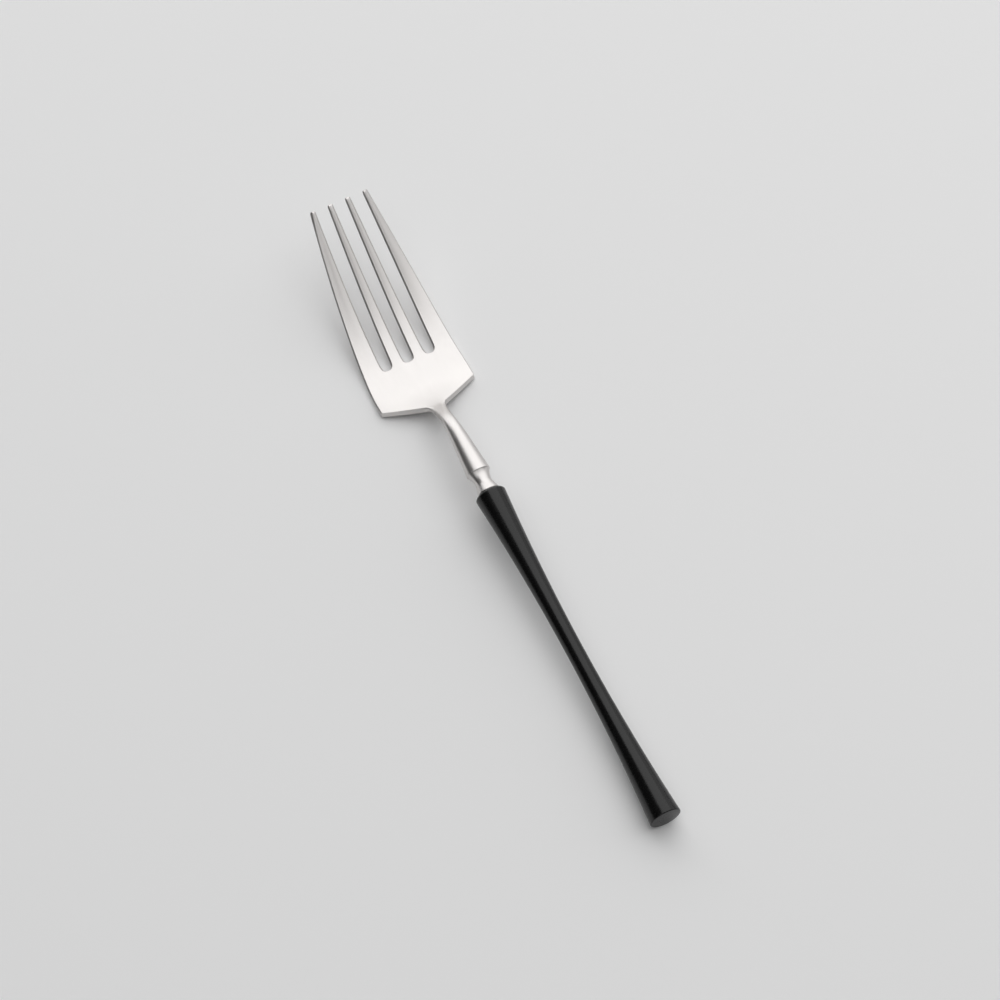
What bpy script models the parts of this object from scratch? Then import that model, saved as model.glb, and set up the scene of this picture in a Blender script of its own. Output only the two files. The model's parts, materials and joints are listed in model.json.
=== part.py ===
"""Salad fork: a forged steel head with a round black handle bonded on a steel core.

Building frame: metres, +Z up, the table at Z = 0, the butt end near Y = 0 and the tines towards +Y.
The finished fork is moved so that the middle of its bounding box's base is the origin.
"""

import math

import bmesh
import bpy
from mathutils import Vector

MM = 0.001

# Handle, measured along its own axis from the butt end
HANDLE_LENGTH = 94.95 * MM
HANDLE_TILT = math.radians(2.42)
HANDLE_WAIST_RADIUS = 2.2 * MM
HANDLE_BUTT_RADIUS = 4.04 * MM
HANDLE_SHOULDER_RADIUS = 3.95 * MM
HANDLE_WAIST_STATION = 48.0 * MM
HANDLE_FRONT_RADIUS = 3.0 * MM
SHOULDER_LENGTH = 0.7 * MM
BUTT_ROUNDING = 0.3 * MM

# Steel core, its adhesive and the bore that holds both
CORE_RADIUS = 1.0 * MM
BOND_THICKNESS = 0.25 * MM
BOND_END_THICKNESS = 0.5 * MM
SOCKET_DEPTH = 7.0 * MM
BORE_END_WALL = 21.5 * MM
FIT_CLEARANCE = 0.03 * MM
JOINT_GAP = 0.1 * MM

# Collar and cove behind the neck
COVE_LENGTH = 5.8 * MM
COVE_RADIUS = 2.15 * MM
COVE_FRONT_SHARE = 0.5
COVE_FRONT_POWER = 2.0
COVE_REAR_POWER = 1.25
COLLAR_RADIUS = 3.12 * MM
COLLAR_THICKNESS = 0.5 * MM
COLLAR_NOSE_LENGTH = 2.5 * MM
COLLAR_NOSE_RADIUS = 1.6 * MM
COLLAR_STEP = 0.08 * MM
COLLAR_LIP = 0.15 * MM

# Neck: slimmest near the plate, flaring back to the collar
NECK_LENGTH = 23.45 * MM
NECK_RADIUS = 1.65 * MM
NECK_FLARE_POWER = 1.25
NECK_SLIM_LENGTH = 3.4 * MM
NECK_DROP_LENGTH = 20.0 * MM
NECK_FLATTENING = 0.84
NECK_ROOT_LENGTH = 8.0 * MM

# Root plate, seen from above
HEAD_WIDTH = 25.5 * MM
PLATE_LENGTH = 10.6 * MM
PLATE_THICKNESS = 1.35 * MM
PLATE_SIDE_TAPER = 0.33 * MM
PLATE_SIDE_BOW = 0.25 * MM
SHOULDER_RUN = 4.8 * MM
NECK_FILLET = 0.9 * MM
NECK_FILLET_LENGTH = 4.0 * MM
BOWL_LENGTH = 5.1 * MM
BOWL_FLAT_LENGTH = 2.0 * MM
BOWL_SMOOTHING_LIFT = 0.165 * MM

# Tines, from the slot ends to the tips
TINE_LENGTH = 40.35 * MM
TINE_RISE = 18.4 * MM
TINE_CURVE = 17.0 * MM
TINE_TIP_WIDTH = 1.4 * MM
TINE_TIP_THICKNESS = 1.15 * MM
TINE_TIP_PITCH = 4.78 * MM
TINE_TIP_BLUNTNESS = 1.2 * MM
SLOT_WIDTH = 2.7 * MM
SLOT_PITCH = 5.87 * MM
SLOT_ROUNDING = 2.6 * MM
MIDDLE_SLOT_ROUNDING = 0.3 * MM
OUTER_EDGE_BOW = 0.5 * MM
OUTER_TINE_INNER_BOW = 0.28 * MM
INNER_TINE_OUTER_BOW = 0.12 * MM

# Mesh density, and how a six-sided cage becomes an oval neck
TURN_STEPS = 32
HANDLE_STEPS = 24
COVE_STEPS = 6
TINE_ROWS = 4
HEAD_SUBDIVISIONS = 2
MERGE_DISTANCE = 0.01 * MM
SLOPE_REACH = 0.1 * MM
SHARP_ANGLE = math.radians(50.0)
HEXAGON_REACH = math.cos(math.radians(30.0))
CAGE_SWELL = 1.2
RING_SHOULDER = 0.65
RIDGE_SWELL = 6.0 / (4.0 + 2.0 * RING_SHOULDER)
NECK_RINGS = (0.08, 0.17, 0.32, 0.5, 0.68, 0.85, 1.0)

# Places that follow from the sizes above
BOND_OUTER_RADIUS = CORE_RADIUS + FIT_CLEARANCE + BOND_THICKNESS
BORE_RADIUS = BOND_OUTER_RADIUS + FIT_CLEARANCE
HEAD_BACK = HANDLE_LENGTH + JOINT_GAP
BOND_BACK = BORE_END_WALL + FIT_CLEARANCE
CORE_BACK = BOND_BACK + BOND_END_THICKNESS + FIT_CLEARANCE
CORE_FRONT = HEAD_BACK + SOCKET_DEPTH - FIT_CLEARANCE
SHOULDER_STATION = HANDLE_LENGTH - SHOULDER_LENGTH
COLLAR_BACK = HEAD_BACK + COVE_LENGTH
COLLAR_FRONT = COLLAR_BACK + COLLAR_THICKNESS
NECK_BACK_Y = (COLLAR_BACK + COLLAR_THICKNESS / 2) * math.cos(HANDLE_TILT)
NECK_FRONT_Y = NECK_BACK_Y + NECK_LENGTH
CORNER_Y = NECK_FRONT_Y + SHOULDER_RUN
SLOT_END_Y = CORNER_Y + PLATE_LENGTH
TIP_Y = SLOT_END_Y + TINE_LENGTH
BOWL_FRONT_Y = SLOT_END_Y - BOWL_LENGTH
BOWL_BACK_Y = BOWL_FRONT_Y - BOWL_FLAT_LENGTH
BUTT_CENTRE_Z = HANDLE_BUTT_RADIUS * math.cos(HANDLE_TILT)

# Material: colour, metallic, roughness
SATIN_STEEL = ((0.62, 0.60, 0.58), 1.0, 0.3)
DRAWN_STEEL = ((0.50, 0.50, 0.50), 1.0, 0.45)
BLACK_RESIN = ((0.012, 0.012, 0.012), 0.0, 0.4)
AMBER_ADHESIVE = ((0.55, 0.42, 0.20), 0.0, 0.3)


def lerp(start, end, share):
    return start + (end - start) * share


def smooth_step(share):
    share = min(max(share, 0.0), 1.0)
    return share * share * (3.0 - 2.0 * share)


def clear_scene():
    for old in list(bpy.data.objects):
        bpy.data.objects.remove(old, do_unlink=True)


def new_collection(name):
    collection = bpy.data.collections.new(name)
    bpy.context.scene.collection.children.link(collection)
    return collection


def principled(name, colour, metallic, roughness):
    material = bpy.data.materials.new(name)
    material.use_nodes = True
    shader = material.node_tree.nodes["Principled BSDF"]
    shader.inputs["Base Color"].default_value = (*colour, 1.0)
    shader.inputs["Metallic"].default_value = metallic
    shader.inputs["Roughness"].default_value = roughness
    return material


def empty(name, parent=None):
    holder = bpy.data.objects.new(name, None)
    bpy.context.scene.collection.objects.link(holder)
    holder.parent = parent
    return holder


def turned(name, profile, collection, parent):
    """A body of revolution about its own Z; the profile lists (radius, height) down its outer side."""
    mesh = bpy.data.meshes.new(name)
    points = [(radius, 0.0, height) for radius, height in profile]
    edges = [(index, index + 1) for index in range(len(points) - 1)]
    mesh.from_pydata(points, edges, [])
    body = bpy.data.objects.new(name, mesh)
    collection.objects.link(body)
    body.parent = parent
    screw = body.modifiers.new("turn", "SCREW")
    screw.axis = "Z"
    screw.steps = TURN_STEPS
    screw.render_steps = TURN_STEPS
    screw.use_merge_vertices = True
    screw.merge_threshold = MERGE_DISTANCE
    screw.use_smooth_shade = True
    return body


def flattening(station):
    """The cove's height as a share of its width: round at the joint, oval at the collar."""
    return lerp(1.0, NECK_FLATTENING, smooth_step((station - HEAD_BACK) / COVE_LENGTH))


def pressed(name, profile, collection, parent):
    """A body turned about its own Z, then pressed flatter towards the collar."""
    cage = bmesh.new()
    points = [cage.verts.new((radius, 0.0, height)) for radius, height in profile]
    edges = [cage.edges.new(pair) for pair in zip(points, points[1:])]
    centre = (0.0, 0.0, 0.0)
    axis = (0.0, 0.0, 1.0)
    bmesh.ops.spin(cage, geom=points + edges, cent=centre, axis=axis, angle=2 * math.pi, steps=TURN_STEPS)
    bmesh.ops.remove_doubles(cage, verts=list(cage.verts), dist=MERGE_DISTANCE)
    for vert in cage.verts:
        vert.co.y *= flattening(vert.co.z)
    bmesh.ops.recalc_face_normals(cage, faces=list(cage.faces))
    mesh = bpy.data.meshes.new(name)
    cage.to_mesh(mesh)
    cage.free()
    body = bpy.data.objects.new(name, mesh)
    collection.objects.link(body)
    body.parent = parent
    return body


def handle_radius(station):
    """The hourglass: two parabolas that share the waist."""
    if station < HANDLE_WAIST_STATION:
        share = 1.0 - station / HANDLE_WAIST_STATION
        return lerp(HANDLE_WAIST_RADIUS, HANDLE_BUTT_RADIUS, share * share)
    share = (station - HANDLE_WAIST_STATION) / (SHOULDER_STATION - HANDLE_WAIST_STATION)
    return lerp(HANDLE_WAIST_RADIUS, HANDLE_SHOULDER_RADIUS, share * share)


def handle_profile():
    """Up the bore's wall, over the front face, down the hourglass and across the butt."""
    profile = [
        (0.0, BORE_END_WALL),
        (BORE_RADIUS, BORE_END_WALL),
        (BORE_RADIUS, HANDLE_LENGTH),
        (HANDLE_FRONT_RADIUS, HANDLE_LENGTH),
    ]
    for step in range(HANDLE_STEPS + 1):
        station = lerp(SHOULDER_STATION, BUTT_ROUNDING, step / HANDLE_STEPS)
        profile.append((handle_radius(station), station))
    profile.append((HANDLE_BUTT_RADIUS - BUTT_ROUNDING, 0.0))
    profile.append((0.0, 0.0))
    return profile


def core_profile():
    return [(0.0, CORE_FRONT), (CORE_RADIUS, CORE_FRONT), (CORE_RADIUS, CORE_BACK), (0.0, CORE_BACK)]


def bond_profile():
    """A cup of adhesive: a wall around the core and a floor behind it."""
    inner = CORE_RADIUS + FIT_CLEARANCE
    floor = BOND_BACK + BOND_END_THICKNESS
    return [
        (0.0, floor),
        (inner, floor),
        (inner, HANDLE_LENGTH),
        (BOND_OUTER_RADIUS, HANDLE_LENGTH),
        (BOND_OUTER_RADIUS, BOND_BACK),
        (0.0, BOND_BACK),
    ]


def cove_half(rim_radius, rim_height, waist_height, power):
    """(radius, height) from a rim of the cove down to its waist."""
    shares = [1.0 - step / COVE_STEPS for step in range(COVE_STEPS + 1)]
    return [
        (lerp(COVE_RADIUS, rim_radius, share ** power), lerp(waist_height, rim_height, share))
        for share in shares
    ]


def collar_profile():
    """The collar's rim and the cove behind it, with a nose that sinks into the neck."""
    waist = lerp(COLLAR_BACK, HEAD_BACK, COVE_FRONT_SHARE)
    profile = [
        (0.0, COLLAR_FRONT + COLLAR_NOSE_LENGTH),
        (COLLAR_NOSE_RADIUS, COLLAR_FRONT + COLLAR_NOSE_LENGTH),
        (COLLAR_NOSE_RADIUS, COLLAR_FRONT),
        (COLLAR_RADIUS, COLLAR_FRONT),
        (COLLAR_RADIUS, COLLAR_BACK),
    ]
    front_half = cove_half(COLLAR_RADIUS - COLLAR_LIP, COLLAR_BACK, waist, COVE_FRONT_POWER)
    rear_half = cove_half(HANDLE_FRONT_RADIUS, HEAD_BACK, waist, COVE_REAR_POWER)
    profile.extend(front_half)
    profile.extend(reversed(rear_half[:-1]))
    profile.append((0.0, HEAD_BACK))
    return profile


def socket_profile():
    radius = CORE_RADIUS + FIT_CLEARANCE
    front = HEAD_BACK + SOCKET_DEPTH
    back = HEAD_BACK - COLLAR_THICKNESS
    return [(0.0, front), (radius, front), (radius, back), (0.0, back)]


def axis_height(y):
    """Height of the handle's axis, carried on to the neck."""
    return BUTT_CENTRE_Z + y * math.tan(HANDLE_TILT)


def spine_height(y):
    """Height of the middle of the head's section: neck, S-bend, bowl and rising tines."""
    low = PLATE_THICKNESS / 2 - BOWL_SMOOTHING_LIFT
    if y < BOWL_BACK_Y:
        share = min((BOWL_BACK_Y - y) / NECK_DROP_LENGTH, 1.0)
        return lerp(low, axis_height(y), smooth_step(share))
    if y < BOWL_FRONT_Y:
        return low
    run = y - BOWL_FRONT_Y
    full_run = TIP_Y - BOWL_FRONT_Y
    steepness = TINE_RISE / (math.hypot(full_run, TINE_CURVE) - TINE_CURVE)
    return low + steepness * (math.hypot(run, TINE_CURVE) - TINE_CURVE)


def spine_normal(y):
    """Upward normal of the spine in the fork's own plane of symmetry."""
    slope = (spine_height(y + SLOPE_REACH) - spine_height(y - SLOPE_REACH)) / (2 * SLOPE_REACH)
    return Vector((0.0, -slope, 1.0)).normalized()


def thickness(y):
    share = (y - SLOT_END_Y) / TINE_LENGTH
    return lerp(PLATE_THICKNESS, TINE_TIP_THICKNESS, min(max(share, 0.0), 1.0))


def bowed(root, tip, bow, share):
    """A gently bowed edge from root to tip."""
    return lerp(root, tip, share) + bow * 4.0 * share * (1.0 - share)


def tine_columns(share):
    """X of the five columns at a share of the tine's length: middle, then the four edges outwards."""
    half_slot = SLOT_WIDTH / 2
    half_tip = TINE_TIP_WIDTH / 2
    inner_tip = TINE_TIP_PITCH / 2
    outer_tip = TINE_TIP_PITCH * 1.5
    side_root = HEAD_WIDTH / 2 - PLATE_SIDE_TAPER
    return (
        0.0,
        lerp(half_slot, inner_tip - half_tip, share),
        bowed(SLOT_PITCH - half_slot, inner_tip + half_tip, INNER_TINE_OUTER_BOW, share),
        bowed(SLOT_PITCH + half_slot, outer_tip - half_tip, OUTER_TINE_INNER_BOW, share),
        bowed(side_root, outer_tip + half_tip, OUTER_EDGE_BOW, share),
    )


def plan_rows():
    """Rows of (x, y) for the half plate, from its rear edge to the tips."""
    roots = tine_columns(0.0)
    half_width = HEAD_WIDTH / 2
    neck_edge = NECK_RADIUS + NECK_FILLET
    rear = [(0.0, NECK_FRONT_Y), (neck_edge, NECK_FRONT_Y)]
    for x in (roots[2], roots[3], half_width):
        rear.append((x, lerp(NECK_FRONT_Y, CORNER_Y, (x - neck_edge) / (half_width - neck_edge))))
    middle = [((rear_x + root) / 2, (rear_y + SLOT_END_Y) / 2) for root, (rear_x, rear_y) in zip(roots, rear)]
    middle[-1] = (middle[-1][0] + PLATE_SIDE_BOW, middle[-1][1])
    rows = [rear, middle]
    blunt_run = TINE_LENGTH - TINE_TIP_BLUNTNESS
    runs = [blunt_run * row / TINE_ROWS for row in range(1, TINE_ROWS + 1)]
    for run in (0.0, SLOT_ROUNDING, *runs, TINE_LENGTH):
        y = SLOT_END_Y + run
        rows.append([(x, y) for x in tine_columns(run / TINE_LENGTH)])
    # The middle slot's end has a point more than the others', so its corner moves forward to round it alike
    slot_row = rows[2]
    corner_x, corner_y = slot_row[1]
    slot_row[1] = (corner_x, corner_y + MIDDLE_SLOT_ROUNDING)
    return rows


def neck_radius(y):
    """Half the neck's width: a fillet at the plate, slim behind it, then flaring back to the collar."""
    slim_y = NECK_FRONT_Y - NECK_SLIM_LENGTH
    share = max(slim_y - y, 0.0) / (slim_y - NECK_BACK_Y)
    fillet_share = max(1.0 - (NECK_FRONT_Y - y) / NECK_FILLET_LENGTH, 0.0)
    slim = lerp(NECK_RADIUS, COLLAR_RADIUS - COLLAR_STEP, share ** NECK_FLARE_POWER)
    return slim + NECK_FILLET * fillet_share * fillet_share


def neck_half_height(y):
    """Half the oval neck's height: as thin as the plate at its root, then growing back to the collar."""
    full = neck_radius(y) * NECK_FLATTENING
    return lerp(PLATE_THICKNESS / 2, full, smooth_step((NECK_FRONT_Y - y) / NECK_ROOT_LENGTH))


def is_slot(face):
    """True for a face between two tines."""
    middle = face.calc_center_median()
    if middle.y < SLOT_END_Y:
        return False
    edges = tine_columns((middle.y - SLOT_END_Y) / TINE_LENGTH)
    return middle.x < edges[1] or edges[2] < middle.x < edges[3]


def slotted_plate(cage):
    """Half the plate and its tines, as a slab about the spine."""
    rows = plan_rows()
    columns = len(rows[0])
    bmesh.ops.create_grid(cage, x_segments=columns - 1, y_segments=len(rows) - 1, size=1.0)
    for index, vert in enumerate(cage.verts):
        x, y = rows[index // columns][index % columns]
        vert.co = (x, y, spine_height(y))
    slots = [face for face in cage.faces if is_slot(face)]
    bmesh.ops.delete(cage, geom=slots, context="FACES")
    top = list(cage.verts)
    grown = bmesh.ops.extrude_face_region(cage, geom=list(cage.faces), use_keep_orig=True)
    bottom = [item for item in grown["geom"] if isinstance(item, bmesh.types.BMVert)]
    for verts, side in ((top, 0.5), (bottom, -0.5)):
        for vert in verts:
            vert.co += spine_normal(vert.co.y) * thickness(vert.co.y) * side


def rear_face(cage):
    """The small face of the slab's rear edge that the neck grows from."""
    middle = Vector((NECK_RADIUS / 2, NECK_FRONT_Y, spine_height(NECK_FRONT_Y)))
    return min(cage.faces, key=lambda face: (face.calc_center_median() - middle).length)


def draw_out_neck(cage):
    """Draw the rear face back along the spine, ring by ring; gives the end face and all the rings' points."""
    face = rear_face(cage)
    ring_verts = set()
    for share in NECK_RINGS:
        y = lerp(NECK_FRONT_Y, NECK_BACK_Y, share)
        centre = Vector((0.0, y, spine_height(y)))
        up = spine_normal(y)
        radius = neck_radius(y) * CAGE_SWELL
        height = neck_half_height(y) * RIDGE_SWELL
        grown = bmesh.ops.extrude_face_region(cage, geom=[face])
        bmesh.ops.delete(cage, geom=[face], context="FACES_ONLY")
        face = next(item for item in grown["geom"] if isinstance(item, bmesh.types.BMFace))
        middle = face.calc_center_median()
        for vert in face.verts:
            side = 1.0 if vert.co.z > middle.z else -1.0
            if vert.co.x < MERGE_DISTANCE:
                vert.co = centre + up * height * side
            else:
                shoulder = up * height * side * RING_SHOULDER
                vert.co = centre + shoulder + Vector((radius * HEXAGON_REACH, 0.0, 0.0))
        ring_verts.update(face.verts)
    return face, ring_verts


def sharpen(cage, end_face, neck_verts):
    """Crease the head's outline and the neck's end, and leave slot ends, tips and the neck round."""
    crease = cage.edges.layers.float.new("crease_edge")
    for edge in cage.edges:
        if len(edge.link_faces) != 2 or not neck_verts.isdisjoint(edge.verts):
            continue
        at_tip = all(vert.co.y > TIP_Y - TINE_TIP_BLUNTNESS / 2 for vert in edge.verts)
        upright = abs(edge.verts[0].co.x - edge.verts[1].co.x) < MERGE_DISTANCE
        if at_tip and upright:
            continue
        if edge.calc_face_angle_signed() > SHARP_ANGLE:
            edge[crease] = 1.0
    for edge in end_face.edges:
        if any(vert.co.x > MERGE_DISTANCE for vert in edge.verts):
            edge[crease] = 1.0


def head_mesh():
    """Coarse cage of half the head, open at the plane of symmetry."""
    cage = bmesh.new()
    slotted_plate(cage)
    end_face, neck_verts = draw_out_neck(cage)
    walls = [face for face in cage.faces if all(vert.co.x < MERGE_DISTANCE for vert in face.verts)]
    bmesh.ops.delete(cage, geom=walls, context="FACES")
    bmesh.ops.recalc_face_normals(cage, faces=list(cage.faces))
    sharpen(cage, end_face, neck_verts)
    mesh = bpy.data.meshes.new("fork_head")
    cage.to_mesh(mesh)
    cage.free()
    return mesh


def boolean(body, name, operation, other):
    """Join or cut a body with another mesh, which is only a guide."""
    other.hide_render = True
    other.display_type = "WIRE"
    modifier = body.modifiers.new(name, "BOOLEAN")
    modifier.operation = operation
    modifier.solver = "EXACT"
    modifier.object = other


def make_fork_head(parts, cutters, frame, axis):
    head = bpy.data.objects.new("fork_head", head_mesh())
    parts.objects.link(head)
    head.parent = frame
    mirror = head.modifiers.new("mirror", "MIRROR")
    mirror.merge_threshold = MERGE_DISTANCE
    smooth = head.modifiers.new("smooth", "SUBSURF")
    smooth.levels = HEAD_SUBDIVISIONS
    smooth.render_levels = HEAD_SUBDIVISIONS
    collar = pressed("collar_and_cove", collar_profile(), cutters, axis)
    socket = turned("core_socket", socket_profile(), cutters, axis)
    boolean(head, "collar", "UNION", collar)
    boolean(head, "socket", "DIFFERENCE", socket)
    head.data.materials.append(principled("satin_steel", *SATIN_STEEL))
    return head


def make_turned_parts(parts, axis):
    pieces = (
        ("handle_grip", handle_profile(), principled("black_resin", *BLACK_RESIN)),
        ("core_rod", core_profile(), principled("drawn_steel", *DRAWN_STEEL)),
        ("bond_sleeve", bond_profile(), principled("adhesive", *AMBER_ADHESIVE)),
    )
    for name, profile, material in pieces:
        piece = turned(name, profile, parts, axis)
        piece.data.materials.append(material)


def settle(parts, frame):
    """Move the fork so that the middle of its bounding box's base is the origin."""
    bpy.context.view_layer.update()
    graph = bpy.context.evaluated_depsgraph_get()
    corners = []
    for piece in parts.objects:
        seen = piece.evaluated_get(graph)
        corners.extend(seen.matrix_world @ vert.co for vert in seen.data.vertices)
    middle_y = (min(corner.y for corner in corners) + max(corner.y for corner in corners)) / 2
    frame.location = (0.0, -middle_y, -min(corner.z for corner in corners))
    bpy.context.view_layer.update()


def build():
    clear_scene()
    parts = new_collection("salad_fork")
    cutters = new_collection("cutters")
    frame = empty("fork_frame")
    axis = empty("handle_axis", frame)
    axis.location = (0.0, 0.0, BUTT_CENTRE_Z)
    axis.rotation_euler = (HANDLE_TILT - math.pi / 2, 0.0, 0.0)
    make_fork_head(parts, cutters, frame, axis)
    make_turned_parts(parts, axis)
    settle(parts, frame)


build()
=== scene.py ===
import json
import math

import bmesh
import bpy
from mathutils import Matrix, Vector


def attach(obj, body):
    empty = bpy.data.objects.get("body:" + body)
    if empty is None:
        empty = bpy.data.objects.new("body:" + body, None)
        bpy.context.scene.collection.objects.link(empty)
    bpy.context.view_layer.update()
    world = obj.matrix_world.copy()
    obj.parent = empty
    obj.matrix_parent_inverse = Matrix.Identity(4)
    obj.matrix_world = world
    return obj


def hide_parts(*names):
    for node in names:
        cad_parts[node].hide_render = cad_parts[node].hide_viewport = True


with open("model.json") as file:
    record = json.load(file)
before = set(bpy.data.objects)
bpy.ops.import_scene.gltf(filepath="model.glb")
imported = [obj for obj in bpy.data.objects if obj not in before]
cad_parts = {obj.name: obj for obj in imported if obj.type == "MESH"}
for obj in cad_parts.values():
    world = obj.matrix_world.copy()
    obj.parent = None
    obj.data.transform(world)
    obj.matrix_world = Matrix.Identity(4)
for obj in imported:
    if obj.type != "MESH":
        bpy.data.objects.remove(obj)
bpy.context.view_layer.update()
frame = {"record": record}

MM = 0.001

# Where the CAD puts the handle: the middle of its butt face and the way its axis points
butt_mount = frame["record"]["mounts"][0]
BUTT_CENTRE = Vector(butt_mount["pos_m"])
HANDLE_AXIS = -Vector(butt_mount["axis"])
HANDLE_TILT = math.atan2(HANDLE_AXIS.z, HANDLE_AXIS.y)

# Camera: the photograph's viewing angle, with a lens of 180 mm on a 36 mm sensor
CAMERA_AZIMUTH = math.radians(-26.206)
CAMERA_ELEVATION = math.radians(62.24)
CAMERA_DISTANCE = 1221.66 * MM
CAMERA_TARGET = Vector((1.959, 2.744, 5.99)) * MM
CAMERA_LENS = 180.0
CAMERA_SENSOR = 36.0

# Handle, measured along its own axis from the butt face
HANDLE_LENGTH = 94.95 * MM
HANDLE_WAIST_RADIUS = 2.2 * MM
HANDLE_BUTT_RADIUS = 4.04 * MM
HANDLE_SHOULDER_RADIUS = 3.95 * MM
HANDLE_WAIST_STATION = 48.0 * MM
HANDLE_FRONT_RADIUS = 3.0 * MM
SHOULDER_LENGTH = 0.7 * MM
SHOULDER_ROUNDING = 0.4 * MM
BUTT_ROUNDING = 0.3 * MM
BORE_RADIUS = 1.34 * MM
BORE_END_WALL = 21.5 * MM

# Head, from the joint forwards: cove, collar, neck, plate and tines
JOINT_SEAM = 0.02 * MM
COVE_LENGTH = 5.88 * MM
COVE_RADIUS = 2.15 * MM
COVE_FRONT_SHARE = 0.5
COVE_FRONT_POWER = 2.0
COVE_REAR_POWER = 1.25
COLLAR_RADIUS = 3.12 * MM
COLLAR_THICKNESS = 0.5 * MM
COLLAR_LIP = 0.15 * MM
COLLAR_ROUNDING = 0.1 * MM
JOINT_ROUNDING = 0.05 * MM
SOCKET_RADIUS = 1.04 * MM
SOCKET_DEPTH = 7.0 * MM
NECK_LENGTH = 23.45 * MM
NECK_RADIUS = 1.65 * MM
NECK_FLARE_POWER = 1.25
NECK_SLIM_LENGTH = 3.4 * MM
NECK_DROP_LENGTH = 20.0 * MM
NECK_FLATTENING = 0.84
NECK_ROOT_LENGTH = 8.0 * MM
HEAD_WIDTH = 25.5 * MM
PLATE_LENGTH = 10.6 * MM
PLATE_THICKNESS = 1.35 * MM
PLATE_SIDE_TAPER = 0.33 * MM
PLATE_SIDE_BOW = 0.245 * MM
SHOULDER_RUN = 4.8 * MM
NECK_FILLET = 0.9 * MM
NECK_FILLET_LENGTH = 4.0 * MM
BOWL_LENGTH = 5.1 * MM
BOWL_FLAT_LENGTH = 2.0 * MM
BOWL_SMOOTHING_LIFT = 0.155 * MM
TINE_LENGTH = 40.35 * MM
TINE_RISE = 18.4 * MM
TINE_CURVE = 17.0 * MM
TINE_TIP_WIDTH = 1.4 * MM
TINE_TIP_THICKNESS = 1.15 * MM
TINE_TIP_PITCH = 4.78 * MM
TINE_TIP_BLUNTNESS = 1.2 * MM
SLOT_WIDTH = 2.7 * MM
SLOT_PITCH = 5.87 * MM
SLOT_ROUNDING = 2.6 * MM
MIDDLE_SLOT_ROUNDING = 0.3 * MM
OUTER_EDGE_BOW = 0.5 * MM
OUTER_TINE_INNER_BOW = 0.28 * MM
INNER_TINE_OUTER_BOW = 0.12 * MM
OUTER_EDGE_ROLL = 0.3 * MM
TINE_EDGE_ROLL = 0.12 * MM
TINE_ROLL_SHARE = 0.5
PLATE_CHAMFER = 0.1 * MM
TINE_CHAMFER = 0.36 * MM

# How finely the meshes are drawn, and how their points, edges and faces are told apart
HANDLE_SIDES = 96
HANDLE_RINGS = 40
ROUNDING_STEPS = 5
COVE_STEPS = 4
NECK_RINGS = (0.08, 0.17, 0.32, 0.5, 0.68, 0.85)
TINE_ROWS = 4
HEAD_SUBDIVISIONS = 3
SHARP_ANGLE = math.radians(50.0)
SMOOTH_ANGLE = math.radians(25.0)
CHAMFER_SLANT = (0.35, 0.95)
FACING_BACK = 0.9
CORNER_REACH = 0.3 * MM
NEAR = 0.01 * MM
SLOPE_REACH = 0.1 * MM

# Finishes: colours as sRGB, and grain as real sizes
STEEL_COLOUR = "#D6D3D1"
STEEL_SHADE = "#D0CDCB"
STEEL_ROUGHNESS = (0.3, 0.4)
SMUDGE_SIZE = 14.0 * MM
SMUDGE_DETAIL = 2.0
DRAWN_STEEL_COLOUR = "#B4B4B2"
DRAWN_STEEL_SHADE = "#9A9A98"
DRAWN_STEEL_ROUGHNESS = 0.4
RESIN_COLOUR = "#060606"
RESIN_SHADE = "#030303"
RESIN_ROUGHNESS = (0.2, 0.3)
RESIN_IOR = 1.45
RESIN_GRAIN = 0.5 * MM
RESIN_DETAIL = 3.0
RESIN_RELIEF = 0.004 * MM
RESIN_RELIEF_STRENGTH = 0.2
ADHESIVE_COLOUR = "#C4A86A"
ADHESIVE_SHADE = "#B0904E"
ADHESIVE_ROUGHNESS = 0.2
CLOUD_SIZE = 3.0 * MM
FLOOR_COLOUR = "#F2F2F2"
FLOOR_ROUGHNESS = 0.9
FLOOR_SIZE = 16.0

# Polishing lines are about 0.05 mm wide, too fine to show, so the streaks are drawn coarser
STREAK_WIDTH = 0.25 * MM
STREAK_LENGTH = 9.0 * MM
STREAK_DEPTH = 0.004 * MM
STREAK_STRENGTH = 0.3
STREAK_DETAIL = 3.0
STREAK_HARSHNESS = 0.6

# Most of a noise pattern lies between these values, so they are spread over a finish's range of gloss
NOISE_LOW = 0.3
NOISE_HIGH = 0.7

# Numbers of a Mix node's sockets for colours, which share their names with its other sockets
MIX_COLOUR = 6
MIX_SHADE = 7
MIX_RESULT = 2

# Studio, in metres: soft panels as name, centre, the point that each faces, width and height, radiance
SOFTBOXES = (
    ("overhead_softbox", (1.05, 1.05, 2.0), (1.05, 1.05, 0.0), (3.1, 3.3), 1.5),
    ("right_softbox", (2.6, 0.8, 1.12), (0.0, 0.8, 1.12), (3.6, 1.76), 0.85),
    ("back_softbox", (0.7, 2.6, 1.05), (0.7, 0.0, 1.05), (3.8, 1.9), 1.45),
    ("front_left_softbox", (-1.5, -1.0, 3.3), (0.0, 0.0, 0.0), (3.0, 1.8), 0.8),
    ("front_right_softbox", (1.4, -1.8, 2.8), (0.0, 0.0, 0.0), (1.9, 1.9), 0.7),
)
WORLD_STRENGTH = 0.05

# A six-sided cage becomes an oval by subdivision, which draws its sides and ridges in, so both swell first
HEXAGON_REACH = math.cos(math.radians(30.0))
CAGE_SWELL = 1.2
RING_SHOULDER = 0.65
RIDGE_SWELL = 6.0 / (4.0 + 2.0 * RING_SHOULDER)

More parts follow.
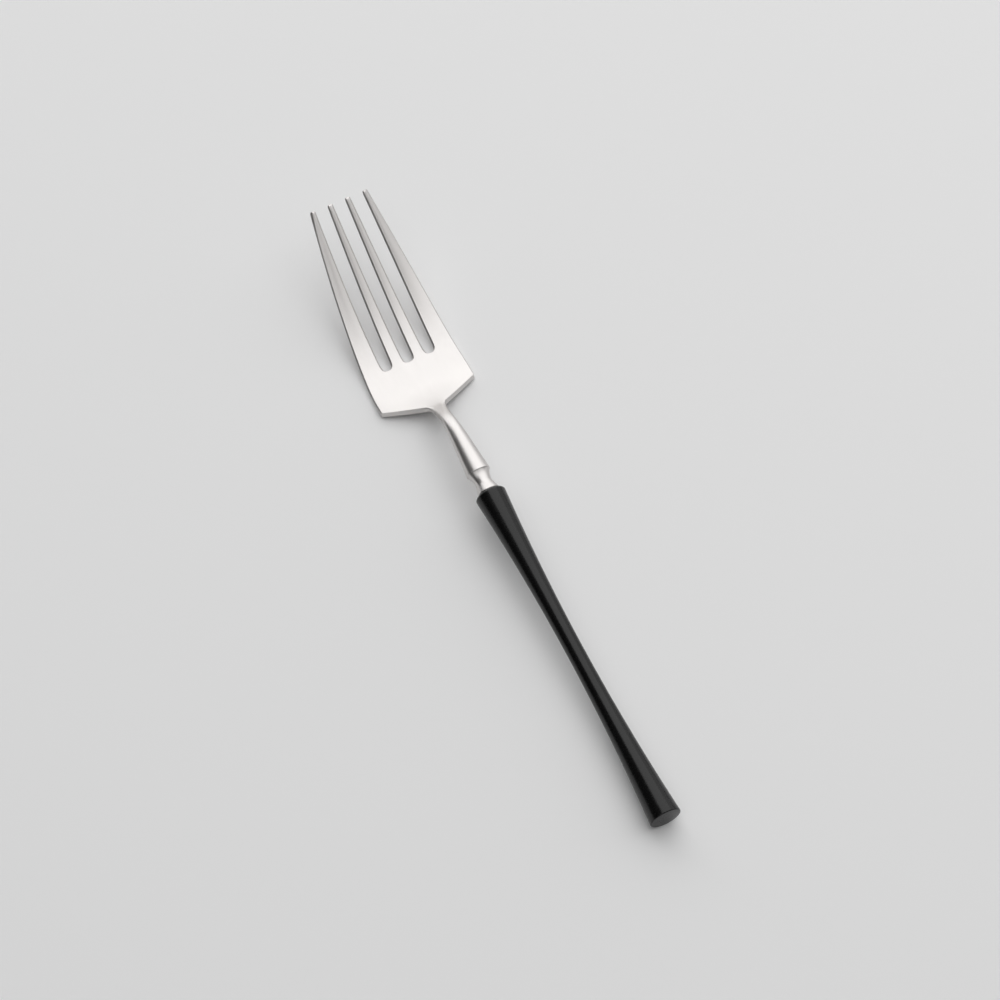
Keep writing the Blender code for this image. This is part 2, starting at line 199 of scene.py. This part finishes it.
# Places along the fork that follow from the sizes above, and the height of the handle's axis at the butt
SHOULDER_STATION = HANDLE_LENGTH - SHOULDER_LENGTH
HEAD_BACK = HANDLE_LENGTH + JOINT_SEAM
COLLAR_BACK = HEAD_BACK + COVE_LENGTH
COLLAR_FRONT = COLLAR_BACK + COLLAR_THICKNESS
NECK_BACK_Y = (COLLAR_BACK + COLLAR_THICKNESS / 2) * math.cos(HANDLE_TILT)
NECK_FRONT_Y = NECK_BACK_Y + NECK_LENGTH
CORNER_Y = NECK_FRONT_Y + SHOULDER_RUN
SLOT_END_Y = CORNER_Y + PLATE_LENGTH
TIP_Y = SLOT_END_Y + TINE_LENGTH
BOWL_FRONT_Y = SLOT_END_Y - BOWL_LENGTH
BOWL_BACK_Y = BOWL_FRONT_Y - BOWL_FLAT_LENGTH
AXIS_BUTT_Z = HANDLE_BUTT_RADIUS * math.cos(HANDLE_TILT)


def lerp(start, end, share):
    return start + (end - start) * share


def smooth_step(share):
    share = min(max(share, 0.0), 1.0)
    return share * share * (3.0 - 2.0 * share)


def only(piece):
    """Make one object the selected and active one."""
    bpy.ops.object.select_all(action="DESELECT")
    piece.select_set(True)
    bpy.context.view_layer.objects.active = piece


def edit(piece):
    only(piece)
    bpy.ops.object.mode_set(mode="EDIT")


def leave_edit():
    bpy.ops.object.mode_set(mode="OBJECT")


def pick(kind, test):
    """In edit mode, select only the points, edges or faces that pass a test."""
    mesh = bpy.context.edit_object.data
    bpy.ops.mesh.select_mode(type=kind)
    bpy.ops.mesh.select_all(action="DESELECT")
    cage = bmesh.from_edit_mesh(mesh)
    for part in {"VERT": cage.verts, "EDGE": cage.edges, "FACE": cage.faces}[kind]:
        if test(part):
            part.select_set(True)
    cage.select_flush_mode()
    bmesh.update_edit_mesh(mesh)


def middle_of(part):
    """The middle of an edge or a face."""
    return sum((vert.co for vert in part.verts), Vector()) / len(part.verts)


def extrude(by):
    bpy.ops.mesh.extrude_region_move(TRANSFORM_OT_translate={"value": by})


def move(by):
    bpy.ops.transform.translate(value=by)


def stretch(scale, centre):
    bpy.ops.transform.resize(value=scale, center_override=centre)


def close_and_face_outwards():
    bpy.ops.mesh.select_all(action="SELECT")
    bpy.ops.mesh.remove_doubles(threshold=NEAR)
    bpy.ops.mesh.normals_make_consistent(inside=False)


def apply_modifier(piece, kind, **settings):
    only(piece)
    modifier = piece.modifiers.new(kind.lower(), kind)
    for name, value in settings.items():
        setattr(modifier, name, value)
    bpy.ops.object.modifier_apply(modifier=modifier.name)


def settle(piece, place, turn):
    """Put a piece in its place and turn in the CAD frame, and keep that in its mesh."""
    only(piece)
    piece.location = place
    piece.rotation_euler = turn
    bpy.ops.object.transform_apply(location=True, rotation=True, scale=True)


def handle_radius(station):
    """The hourglass: two parabolas that share the waist."""
    if station < HANDLE_WAIST_STATION:
        share = 1.0 - station / HANDLE_WAIST_STATION
        return lerp(HANDLE_WAIST_RADIUS, HANDLE_BUTT_RADIUS, share * share)
    share = (station - HANDLE_WAIST_STATION) / (SHOULDER_STATION - HANDLE_WAIST_STATION)
    return lerp(HANDLE_WAIST_RADIUS, HANDLE_SHOULDER_RADIUS, share * share)


def at_ring(edge, radius, height):
    """True for an edge of the ring with that radius and height."""
    return all(
        abs(vert.co.z - height) < NEAR and abs(vert.co.xy.length - radius) < NEAR for vert in edge.verts
    )


def round_ring(radius, height, rounding):
    """Round the handle's edge that has that radius and height."""
    pick("EDGE", lambda edge: at_ring(edge, radius, height))
    bpy.ops.mesh.bevel(offset=rounding, offset_type="OFFSET", segments=ROUNDING_STEPS, affect="EDGES")


def handle_profile():
    """(height, radius) of the rings above the butt: the hourglass, its front face and the bore."""
    rings = [SHOULDER_STATION * ring / HANDLE_RINGS for ring in range(1, HANDLE_RINGS + 1)]
    profile = [(station, handle_radius(station)) for station in rings]
    profile.append((HANDLE_LENGTH, HANDLE_FRONT_RADIUS))
    profile.append((HANDLE_LENGTH, BORE_RADIUS))
    profile.append((BORE_END_WALL, BORE_RADIUS))
    return profile


def make_handle():
    """A turned hourglass, drawn up ring by ring from the butt, then bored from its front."""
    bpy.ops.mesh.primitive_circle_add(vertices=HANDLE_SIDES, radius=HANDLE_BUTT_RADIUS, fill_type="NGON")
    handle = bpy.context.object
    handle.name = "handle_turned"
    edit(handle)
    bpy.ops.mesh.select_all(action="SELECT")
    height = 0.0
    radius = HANDLE_BUTT_RADIUS
    for next_height, next_radius in handle_profile():
        extrude((0.0, 0.0, next_height - height))
        ratio = next_radius / radius
        stretch((ratio, ratio, 1.0), (0.0, 0.0, next_height))
        height = next_height
        radius = next_radius
    round_ring(HANDLE_BUTT_RADIUS, 0.0, BUTT_ROUNDING)
    round_ring(HANDLE_SHOULDER_RADIUS, SHOULDER_STATION, SHOULDER_ROUNDING)
    close_and_face_outwards()
    leave_edit()
    settle(handle, BUTT_CENTRE, (HANDLE_TILT - math.pi / 2, 0.0, 0.0))
    return handle


def axis_height(y):
    """Height of the handle's axis, carried on to the neck."""
    return AXIS_BUTT_Z + y * math.tan(HANDLE_TILT)


def spine_height(y):
    """Height of the middle of the head's section: neck, S-bend, bowl and rising tines."""
    low = PLATE_THICKNESS / 2 - BOWL_SMOOTHING_LIFT
    if y < BOWL_BACK_Y:
        share = min((BOWL_BACK_Y - y) / NECK_DROP_LENGTH, 1.0)
        return lerp(low, axis_height(y), smooth_step(share))
    if y < BOWL_FRONT_Y:
        return low
    run = y - BOWL_FRONT_Y
    full_run = TIP_Y - BOWL_FRONT_Y
    steepness = TINE_RISE / (math.hypot(full_run, TINE_CURVE) - TINE_CURVE)
    return low + steepness * (math.hypot(run, TINE_CURVE) - TINE_CURVE)


def spine_slope(y):
    """The spine's angle above the level, looking towards the tips."""
    rise = spine_height(y + SLOPE_REACH) - spine_height(y - SLOPE_REACH)
    return math.atan2(rise, 2 * SLOPE_REACH)


def thickness(y):
    share = (y - SLOT_END_Y) / TINE_LENGTH
    return lerp(PLATE_THICKNESS, TINE_TIP_THICKNESS, min(max(share, 0.0), 1.0))


def neck_radius(y):
    """Half the neck's width: a fillet at the plate, slim behind it, then flaring back to the collar."""
    slim_y = NECK_FRONT_Y - NECK_SLIM_LENGTH
    share = max(slim_y - y, 0.0) / (slim_y - NECK_BACK_Y)
    fillet_share = max(1.0 - (NECK_FRONT_Y - y) / NECK_FILLET_LENGTH, 0.0)
    slim = lerp(NECK_RADIUS, COLLAR_RADIUS, share ** NECK_FLARE_POWER)
    return slim + NECK_FILLET * fillet_share * fillet_share


def neck_half_height(y):
    """Half the oval neck's height: as thin as the plate at its root, then growing back to the collar."""
    full = neck_radius(y) * NECK_FLATTENING
    return lerp(PLATE_THICKNESS / 2, full, smooth_step((NECK_FRONT_Y - y) / NECK_ROOT_LENGTH))


def flattening(station):
    """The cove's height as a share of its width: round at the joint, oval at the collar."""
    return lerp(1.0, NECK_FLATTENING, smooth_step((station - HEAD_BACK) / COVE_LENGTH))


def bowed(root, tip, bow, share):
    """X at a share of an edge from root to tip that bows outwards, by the whole bow at its middle."""
    return lerp(root, tip, share) + bow * 4.0 * share * (1.0 - share)


def inner_tine(share):
    """X of the inner tine's two edges at a share of its length."""
    half_tip = TINE_TIP_WIDTH / 2
    middle = TINE_TIP_PITCH / 2
    near_edge = lerp(SLOT_WIDTH / 2, middle - half_tip, share)
    far_edge = bowed(SLOT_PITCH - SLOT_WIDTH / 2, middle + half_tip, INNER_TINE_OUTER_BOW, share)
    return near_edge, far_edge


def outer_tine(share):
    """X of the outer tine's two edges at a share of its length."""
    half_tip = TINE_TIP_WIDTH / 2
    middle = TINE_TIP_PITCH + TINE_TIP_PITCH / 2
    near_edge = bowed(SLOT_PITCH + SLOT_WIDTH / 2, middle - half_tip, OUTER_TINE_INNER_BOW, share)
    far_edge = bowed(HEAD_WIDTH / 2 - PLATE_SIDE_TAPER, middle + half_tip, OUTER_EDGE_BOW, share)
    return near_edge, far_edge


def tine_stations():
    """Y of the rows along a tine: slot end, slot rounding, then even rows to the blunt tip."""
    blunt_run = TINE_LENGTH - TINE_TIP_BLUNTNESS
    rows = [SLOT_END_Y, SLOT_END_Y + SLOT_ROUNDING]
    rows += [SLOT_END_Y + blunt_run * row / TINE_ROWS for row in range(1, TINE_ROWS + 1)]
    rows.append(TIP_Y)
    return rows


def lay_out_plate():
    """Half the plate as a flat grid: columns at the tines' edges, and a rear row along the shoulder."""
    inner = inner_tine(0.0)
    outer = outer_tine(0.0)
    columns = [0.0, inner[0], sum(inner) / 2, inner[1], outer[0], sum(outer) / 2, outer[1]]
    cells = len(columns) - 1
    width = columns[-1]
    half_length = (SLOT_END_Y - NECK_FRONT_Y) / 2
    bpy.ops.mesh.primitive_grid_add(x_subdivisions=cells, y_subdivisions=2, size=1.0)
    plate = bpy.context.object
    plate.name = "head_forged"
    edit(plate)
    bpy.ops.mesh.select_all(action="SELECT")
    move((0.5, 0.0, 0.0))
    stretch((width, 2 * half_length, 1.0), (0.0, 0.0, 0.0))
    move((0.0, NECK_FRONT_Y + half_length, PLATE_THICKNESS / 2))
    for cell, column in enumerate(columns):
        even = width * cell / cells
        pick("VERT", lambda vert: abs(vert.co.x - even) < NEAR)
        move((column - even, 0.0, 0.0))
    shape_rear_edge(columns)
    return plate


def shape_rear_edge(columns):
    """Slide the rear row out along the shoulder, and the row before it half as far."""
    neck_edge = NECK_RADIUS + NECK_FILLET
    half_width = HEAD_WIDTH / 2
    rear_columns = [0.0, neck_edge, (neck_edge + columns[3]) / 2, *columns[3:5]]
    rear_columns += [(columns[4] + half_width) / 2, half_width]
    middle_y = (NECK_FRONT_Y + SLOT_END_Y) / 2
    for column, rear_x in zip(columns, rear_columns):
        share = max(rear_x - neck_edge, 0.0) / (half_width - neck_edge)
        slide = Vector((rear_x - column, SHOULDER_RUN * share, 0.0))
        bow = Vector((PLATE_SIDE_BOW, 0.0, 0.0)) if rear_x == half_width else Vector()
        pick("VERT", lambda vert: abs(vert.co.x - column) < NEAR and abs(vert.co.y - middle_y) < NEAR)
        move(slide / 2 + bow)
        pick("VERT", lambda vert: abs(vert.co.x - column) < NEAR and abs(vert.co.y - NECK_FRONT_Y) < NEAR)
        move(slide)


def draw_out_tine(edges_at):
    """Extrude a tine's root forwards row by row, following its two edges."""
    near_edge, far_edge = edges_at(0.0)
    pick("EDGE", lambda edge: on_tine_root(edge, near_edge, far_edge))
    stations = tine_stations()
    for last_y, y in zip(stations, stations[1:]):
        next_near, next_far = edges_at((y - SLOT_END_Y) / TINE_LENGTH)
        centre = (next_near + next_far) / 2
        extrude((centre - (near_edge + far_edge) / 2, y - last_y, 0.0))
        stretch(((next_far - next_near) / (far_edge - near_edge), 1.0, 1.0), (centre, y, 0.0))
        near_edge = next_near
        far_edge = next_far


def on_tine_root(edge, near_edge, far_edge):
    middle = middle_of(edge)
    return abs(middle.y - SLOT_END_Y) < NEAR and near_edge < middle.x < far_edge


def round_middle_slot():
    """Push forward the corner of the middle slot's end, which has a point more than the others' ends."""
    corner_x = inner_tine(0.0)[0]
    pick("VERT", lambda vert: abs(vert.co.x - corner_x) < NEAR and abs(vert.co.y - SLOT_END_Y) < NEAR)
    move((0.0, MIDDLE_SLOT_ROUNDING, 0.0))


def give_thickness():
    """Extrude the flat half head down to a slab, thinner towards the tips."""
    bpy.ops.mesh.select_all(action="SELECT")
    extrude((0.0, 0.0, -PLATE_THICKNESS))
    for y in tine_stations():
        pick("VERT", lambda vert: abs(vert.co.y - y) < NEAR)
        stretch((1.0, 1.0, thickness(y) / PLATE_THICKNESS), (0.0, y, 0.0))


def lower_top_edge(x, y, drop):
    """Lower the top point of a tine's edge at that X and Y."""
    pick("VERT", lambda vert: vert.co.z > 0.0 and abs(vert.co.y - y) < NEAR and abs(vert.co.x - x) < NEAR)
    move((0.0, 0.0, -drop))


def roll_tine_edges():
    """Polishing rounds the tines' top edges, most along the outside of the outer tines."""
    for y in tine_stations()[1:]:
        share = (y - SLOT_END_Y) / TINE_LENGTH
        roll = smooth_step(share / TINE_ROLL_SHARE)
        inner_near, inner_far = inner_tine(share)
        outer_near, outer_far = outer_tine(share)
        for x in (inner_near, inner_far, outer_near):
            lower_top_edge(x, y, TINE_EDGE_ROLL * roll)
        lower_top_edge(outer_far, y, OUTER_EDGE_ROLL * roll)


def mirror_head(head):
    leave_edit()
    apply_modifier(head, "MIRROR", merge_threshold=NEAR)
    edit(head)
    pick("FACE", lambda face: all(abs(vert.co.x) < NEAR for vert in face.verts))
    bpy.ops.mesh.delete(type="FACE")
    close_and_face_outwards()


def draw_back_ring(last, following):
    """Extrude the open end back to the next ring; a ring is its Y, half width and half height."""
    extrude((0.0, following[0] - last[0], 0.0))
    stretch((following[1] / last[1], 1.0, following[2] / last[2]), (0.0, following[0], 0.0))
    return following


def draw_back_neck():
    """Draw the neck back from the plate's rear edge, as six-sided rings that subdivision makes oval."""
    neck_edge = NECK_RADIUS + NECK_FILLET
    pick("FACE", lambda face: is_neck_root(face, neck_edge))
    ring = (NECK_FRONT_Y, neck_edge, PLATE_THICKNESS / 2 / RING_SHOULDER)
    for share in NECK_RINGS:
        y = lerp(NECK_FRONT_Y, NECK_BACK_Y, share)
        radius = neck_radius(y) * CAGE_SWELL
        height = neck_half_height(y) * RIDGE_SWELL
        first = ring[0] == NECK_FRONT_Y
        ring = draw_back_ring(ring, (y, radius * HEXAGON_REACH, height))
        if first:
            raise_ridge(y)
    return ring


def is_neck_root(face, neck_edge):
    """True for a face of the plate's rear edge that the neck grows from."""
    middle = middle_of(face)
    at_root = abs(middle.y - NECK_FRONT_Y) < NEAR and abs(middle.x) < neck_edge
    return at_root and abs(face.normal.y) > FACING_BACK


def raise_ridge(y):
    """Lift the top and bottom points of the neck's first ring, so that four corners become six."""
    pick("VERT", lambda vert: abs(vert.co.y - y) < NEAR and abs(vert.co.x) < NEAR)
    stretch((1.0, 1.0, 1.0 / RING_SHOULDER), (0.0, y, 0.0))
    pick("FACE", lambda face: all(abs(vert.co.y - y) < NEAR for vert in face.verts))


def cove_half(rim_radius, rim_station, waist_station, power):
    """(distance along the axis, radius) from the cove's waist out to a rim."""
    shares = [step / COVE_STEPS for step in range(COVE_STEPS + 1)]
    return [
        (lerp(waist_station, rim_station, share), lerp(COVE_RADIUS, rim_radius, share ** power))
        for share in shares
    ]


def cove_rings():
    """(distance along the axis, radius) from the collar's rim through the cove to the joint."""
    waist = lerp(COLLAR_BACK, HEAD_BACK, COVE_FRONT_SHARE)
    front_half = cove_half(COLLAR_RADIUS - COLLAR_LIP, COLLAR_BACK, waist, COVE_FRONT_POWER)
    rear_half = cove_half(HANDLE_FRONT_RADIUS, HEAD_BACK, waist, COVE_REAR_POWER)
    rim = [(COLLAR_FRONT, COLLAR_RADIUS), (COLLAR_BACK, COLLAR_RADIUS)]
    return rim + front_half[::-1] + rear_half[1:]


def cage_size(radius, squash):
    """Half the width and half the height of the six-sided ring that becomes an oval of that radius."""
    return radius * CAGE_SWELL * HEXAGON_REACH, radius * RIDGE_SWELL * squash


def draw_back_collar(ring):
    """Carry the neck on through collar and cove to the joint, then sink the core's socket."""
    for station, radius in cove_rings():
        y = station * math.cos(HANDLE_TILT)
        ring = draw_back_ring(ring, (y, *cage_size(radius, flattening(station))))
    draw_back_ring(ring, (ring[0], *cage_size(SOCKET_RADIUS, 1.0)))
    extrude((0.0, SOCKET_DEPTH, 0.0))


def on_ring(edge, y, radius, squash):
    """True for an edge of the six-sided ring of that radius at that Y, with its height squashed."""
    width, height = cage_size(radius, squash)
    sides = (0.0, height), (width, height * RING_SHOULDER)
    return all(
        abs(vert.co.y - y) < NEAR
        and any(abs(abs(vert.co.x) - x) < NEAR and abs(abs(vert.co.z) - z) < NEAR for x, z in sides)
        for vert in edge.verts
    )


def mark_rims():
    """Mark the collar's rim and the joint's edge for bevelling, and crease the socket to keep it true."""
    rims = (
        (COLLAR_FRONT, COLLAR_RADIUS, COLLAR_ROUNDING),
        (COLLAR_BACK, COLLAR_RADIUS, COLLAR_ROUNDING),
        (HEAD_BACK, HANDLE_FRONT_RADIUS, JOINT_ROUNDING),
    )
    for station, radius, rounding in rims:
        y = station * math.cos(HANDLE_TILT)
        pick("EDGE", lambda edge: on_ring(edge, y, radius, flattening(station)))
        bpy.ops.transform.edge_bevelweight(value=rounding / TINE_CHAMFER)
    mouth_y = HEAD_BACK * math.cos(HANDLE_TILT)
    for y in (mouth_y, mouth_y + SOCKET_DEPTH):
        pick("EDGE", lambda edge: on_ring(edge, y, SOCKET_RADIUS, 1.0))
        bpy.ops.transform.edge_crease(value=1.0)


def is_outline(edge):
    """True for a sharp edge of the plate or tines, but not for an upright one in a slot end or at a tip."""
    start, end = (vert.co for vert in edge.verts)
    if min(start.y, end.y) < NECK_FRONT_Y - NEAR:
        return False
    if (start - end).xy.length < NEAR and start.y > CORNER_Y + NEAR:
        return False
    return edge.calc_face_angle_signed() > SHARP_ANGLE


def on_tine(edge):
    """True for an edge along a tine, between the rounded slot end and the tip."""
    start_y = min(vert.co.y for vert in edge.verts)
    return SLOT_END_Y + SLOT_ROUNDING - NEAR < start_y < TIP_Y - NEAR


def mark_outline():
    """Mark the sharp edges for bevelling: the plate's only just, and the tines' as wide chamfers."""
    pick("EDGE", lambda edge: is_outline(edge) and not on_tine(edge))
    bpy.ops.transform.edge_bevelweight(value=PLATE_CHAMFER / TINE_CHAMFER)
    pick("EDGE", lambda edge: is_outline(edge) and on_tine(edge))
    bpy.ops.transform.edge_bevelweight(value=1.0)


def is_chamfer(face):
    """True for a narrow slanting face along the plate's or a tine's outline."""
    return middle_of(face).y > NECK_FRONT_Y and CHAMFER_SLANT[0] < abs(face.normal.z) < CHAMFER_SLANT[1]


def at_plate_corner(vert):
    """True for a point of the plate's two rear corners."""
    return abs(abs(vert.co.x) - HEAD_WIDTH / 2) < CORNER_REACH and abs(vert.co.y - CORNER_Y) < CORNER_REACH


def bevel_outline(head):
    """Cut the marked edges, and crease the chamfers' borders and the plate's corners to keep them crisp."""
    leave_edit()
    apply_modifier(head, "BEVEL", width=TINE_CHAMFER, segments=1, limit_method="WEIGHT")
    edit(head)
    pick("FACE", is_chamfer)
    bpy.ops.mesh.region_to_loop()
    bpy.ops.transform.edge_crease(value=1.0)
    pick("VERT", at_plate_corner)
    bpy.ops.transform.vert_crease(value=1.0)


def bend_to_spine(head):
    """Tip each cross-section to the spine's slope and lift it to the spine's height."""
    cage = bmesh.from_edit_mesh(head.data)
    cage.verts.index_update()
    sections = {}
    for vert in cage.verts:
        sections.setdefault(round(vert.co.y / NEAR), set()).add(vert.index)
    for section, members in sections.items():
        y = section * NEAR
        pick("VERT", lambda vert: vert.index in members)
        bpy.ops.transform.rotate(value=-spine_slope(y), orient_axis="X", center_override=(0.0, y, 0.0))
        move((0.0, 0.0, spine_height(y)))


def make_head():
    """The forged steel head: plate and tines, neck, collar and cove as one skin."""
    head = lay_out_plate()
    draw_out_tine(inner_tine)
    draw_out_tine(outer_tine)
    round_middle_slot()
    give_thickness()
    roll_tine_edges()
    mirror_head(head)
    draw_back_collar(draw_back_neck())
    mark_outline()
    mark_rims()
    bevel_outline(head)
    bend_to_spine(head)
    leave_edit()
    apply_modifier(head, "SUBSURF", levels=HEAD_SUBDIVISIONS, render_levels=HEAD_SUBDIVISIONS)
    edit(head)
    bpy.ops.mesh.select_all(action="SELECT")
    bpy.ops.mesh.normals_make_consistent(inside=False)
    leave_edit()
    settle(head, BUTT_CENTRE - Vector((0.0, 0.0, AXIS_BUTT_Z)), (0.0, 0.0, 0.0))
    return head


def smooth_shading(piece):
    only(piece)
    bpy.ops.object.shade_smooth_by_angle(angle=SMOOTH_ANGLE)


def linear(hex_colour):
    """An sRGB hex colour as the linear colour that a shader takes."""
    channels = [int(hex_colour[start:start + 2], 16) / 255.0 for start in (1, 3, 5)]
    return [c / 12.92 if c <= 0.04045 else ((c + 0.055) / 1.055) ** 2.4 for c in channels] + [1.0]


def new_material(name):
    material = bpy.data.materials.new(name)
    material.use_nodes = True
    return material, material.node_tree.nodes["Principled BSDF"]


def link(material, node, links):
    """Link other nodes' outputs into a node's sockets."""
    for socket, output in links.items():
        material.node_tree.links.new(output, node.inputs[socket])


def add_node(material, kind, settings=None, links=None):
    """Add a node, give its properties and its sockets, by name or number, their values, and link it."""
    node = material.node_tree.nodes.new(kind)
    for name, value in (settings or {}).items():
        if isinstance(name, int) or name in node.inputs:
            node.inputs[name].default_value = value
        else:
            setattr(node, name, value)
    link(material, node, links or {})
    return node


def per_size(size):
    """How often a noise pattern repeats in a metre for a grain of that size."""
    return 1.0 / size


def along_the_fork(material):
    """Object coordinates squeezed across the fork, so that noise on them runs in streaks along it."""
    place = add_node(material, "ShaderNodeTexCoord").outputs["Object"]
    grit = (per_size(STREAK_WIDTH), per_size(STREAK_LENGTH), per_size(STREAK_WIDTH))
    return add_node(material, "ShaderNodeMapping", {"Scale": grit}, {"Vector": place}).outputs["Vector"]


def satin_steel():
    """Stainless steel, forged and satin polished lengthwise: warm grey, soft wide gloss, fine streaks."""
    material, shader = new_material("stainless_steel_satin_polished")
    place = add_node(material, "ShaderNodeTexCoord").outputs["Object"]
    streaks = add_node(
        material,
        "ShaderNodeTexNoise",
        {"Scale": 1.0, "Detail": STREAK_DETAIL, "Roughness": STREAK_HARSHNESS},
        {"Vector": along_the_fork(material)},
    )
    handling = add_node(
        material,
        "ShaderNodeTexNoise",
        {"Scale": per_size(SMUDGE_SIZE), "Detail": SMUDGE_DETAIL},
        {"Vector": place},
    )
    gloss = add_node(
        material,
        "ShaderNodeMapRange",
        {
            "From Min": NOISE_LOW,
            "From Max": NOISE_HIGH,
            "To Min": STEEL_ROUGHNESS[0],
            "To Max": STEEL_ROUGHNESS[1],
        },
        {"Value": streaks.outputs["Fac"]},
    )
    tint = add_node(
        material,
        "ShaderNodeMix",
        {"data_type": "RGBA", MIX_COLOUR: linear(STEEL_COLOUR), MIX_SHADE: linear(STEEL_SHADE)},
        {"Factor": handling.outputs["Fac"]},
    )
    scratches = add_node(
        material,
        "ShaderNodeBump",
        {"Strength": STREAK_STRENGTH, "Distance": STREAK_DEPTH},
        {"Height": streaks.outputs["Fac"]},
    )
    shader.inputs["Metallic"].default_value = 1.0
    finish = {
        "Base Color": tint.outputs[MIX_RESULT],
        "Roughness": gloss.outputs["Result"],
        "Normal": scratches.outputs["Normal"],
    }
    link(material, shader, finish)
    return material


def black_resin():
    """Acetal resin, turned and buffed: near black with a soft, slightly uneven gloss."""
    material, shader = new_material("acetal_resin_turned_buffed")
    place = add_node(material, "ShaderNodeTexCoord").outputs["Object"]
    skin = add_node(
        material,
        "ShaderNodeTexNoise",
        {"Scale": per_size(RESIN_GRAIN), "Detail": RESIN_DETAIL},
        {"Vector": place},
    )
    gloss = add_node(
        material,
        "ShaderNodeMapRange",
        {
            "From Min": NOISE_LOW,
            "From Max": NOISE_HIGH,
            "To Min": RESIN_ROUGHNESS[0],
            "To Max": RESIN_ROUGHNESS[1],
        },
        {"Value": skin.outputs["Fac"]},
    )
    tint = add_node(
        material,
        "ShaderNodeMix",
        {"data_type": "RGBA", MIX_COLOUR: linear(RESIN_COLOUR), MIX_SHADE: linear(RESIN_SHADE)},
        {"Factor": skin.outputs["Fac"]},
    )
    dimples = add_node(
        material,
        "ShaderNodeBump",
        {"Strength": RESIN_RELIEF_STRENGTH, "Distance": RESIN_RELIEF},
        {"Height": skin.outputs["Fac"]},
    )
    shader.inputs["IOR"].default_value = RESIN_IOR
    finish = {
        "Base Color": tint.outputs[MIX_RESULT],
        "Roughness": gloss.outputs["Result"],
        "Normal": dimples.outputs["Normal"],
    }
    link(material, shader, finish)
    return material


def drawn_steel():
    """Steel rod as it comes from the drawing die: grey, with fine lines along its length."""
    material, shader = new_material("steel_rod_cold_drawn")
    streaks = add_node(material, "ShaderNodeTexNoise", {"Scale": 1.0}, {"Vector": along_the_fork(material)})
    tint = add_node(
        material,
        "ShaderNodeMix",
        {"data_type": "RGBA", MIX_COLOUR: linear(DRAWN_STEEL_COLOUR), MIX_SHADE: linear(DRAWN_STEEL_SHADE)},
        {"Factor": streaks.outputs["Fac"]},
    )
    shader.inputs["Metallic"].default_value = 1.0
    shader.inputs["Roughness"].default_value = DRAWN_STEEL_ROUGHNESS
    link(material, shader, {"Base Color": tint.outputs[MIX_RESULT]})
    return material


def cured_adhesive():
    """Epoxy, cured in the bore: amber and glossy, with faint clouds where it was stirred."""
    material, shader = new_material("epoxy_cured_amber")
    place = add_node(material, "ShaderNodeTexCoord").outputs["Object"]
    clouds = add_node(material, "ShaderNodeTexNoise", {"Scale": per_size(CLOUD_SIZE)}, {"Vector": place})
    tint = add_node(
        material,
        "ShaderNodeMix",
        {"data_type": "RGBA", MIX_COLOUR: linear(ADHESIVE_COLOUR), MIX_SHADE: linear(ADHESIVE_SHADE)},
        {"Factor": clouds.outputs["Fac"]},
    )
    shader.inputs["Roughness"].default_value = ADHESIVE_ROUGHNESS
    link(material, shader, {"Base Color": tint.outputs[MIX_RESULT]})
    return material


def studio_paper():
    """Matt seamless paper: plain and pale."""
    material, shader = new_material("seamless_paper_matt")
    shader.inputs["Base Color"].default_value = linear(FLOOR_COLOUR)
    shader.inputs["Roughness"].default_value = FLOOR_ROUGHNESS
    shader.inputs["Specular IOR Level"].default_value = 0.0
    return material


def dress(piece, material):
    piece.data.materials.clear()
    piece.data.materials.append(material)


def add_floor():
    bpy.ops.mesh.primitive_plane_add(size=FLOOR_SIZE)
    floor = bpy.context.object
    floor.name = "floor"
    dress(floor, studio_paper())


def add_softbox(name, centre, aim, size, radiance):
    """A soft rectangular lamp whose face shines with the given radiance."""
    bpy.ops.object.light_add(type="AREA", location=centre)
    lamp = bpy.context.object
    lamp.name = name
    lamp.data.shape = "RECTANGLE"
    lamp.data.size = size[0]
    lamp.data.size_y = size[1]
    lamp.data.energy = radiance * math.pi * size[0] * size[1]
    lamp.rotation_euler = (Vector(aim) - Vector(centre)).to_track_quat("-Z", "Y").to_euler()
    lamp.visible_camera = False


def light_studio():
    for softbox in SOFTBOXES:
        add_softbox(*softbox)
    world = bpy.data.worlds.new("studio")
    world.use_nodes = True
    background = world.node_tree.nodes["Background"]
    background.inputs["Color"].default_value = (1.0, 1.0, 1.0, 1.0)
    background.inputs["Strength"].default_value = WORLD_STRENGTH
    bpy.context.scene.world = world


def add_camera():
    level = math.cos(CAMERA_ELEVATION)
    right = level * math.sin(CAMERA_AZIMUTH)
    forward = -level * math.cos(CAMERA_AZIMUTH)
    towards = Vector((right, forward, math.sin(CAMERA_ELEVATION)))
    bpy.ops.object.camera_add(location=CAMERA_TARGET + towards * CAMERA_DISTANCE)
    camera = bpy.context.object
    camera.rotation_euler = (math.pi / 2 - CAMERA_ELEVATION, 0.0, CAMERA_AZIMUTH)
    camera.data.lens = CAMERA_LENS
    camera.data.sensor_width = CAMERA_SENSOR
    bpy.context.scene.camera = camera


head = make_head()
handle = make_handle()
smooth_shading(head)
smooth_shading(handle)
dress(head, satin_steel())
dress(handle, black_resin())
dress(bpy.data.objects["core_rod"], drawn_steel())
dress(bpy.data.objects["bond_sleeve"], cured_adhesive())

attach(head, "root")
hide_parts("fork_head")
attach(handle, "root")
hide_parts("handle_grip")

add_floor()
light_studio()
add_camera()
bpy.context.scene.view_settings.view_transform = "Standard"
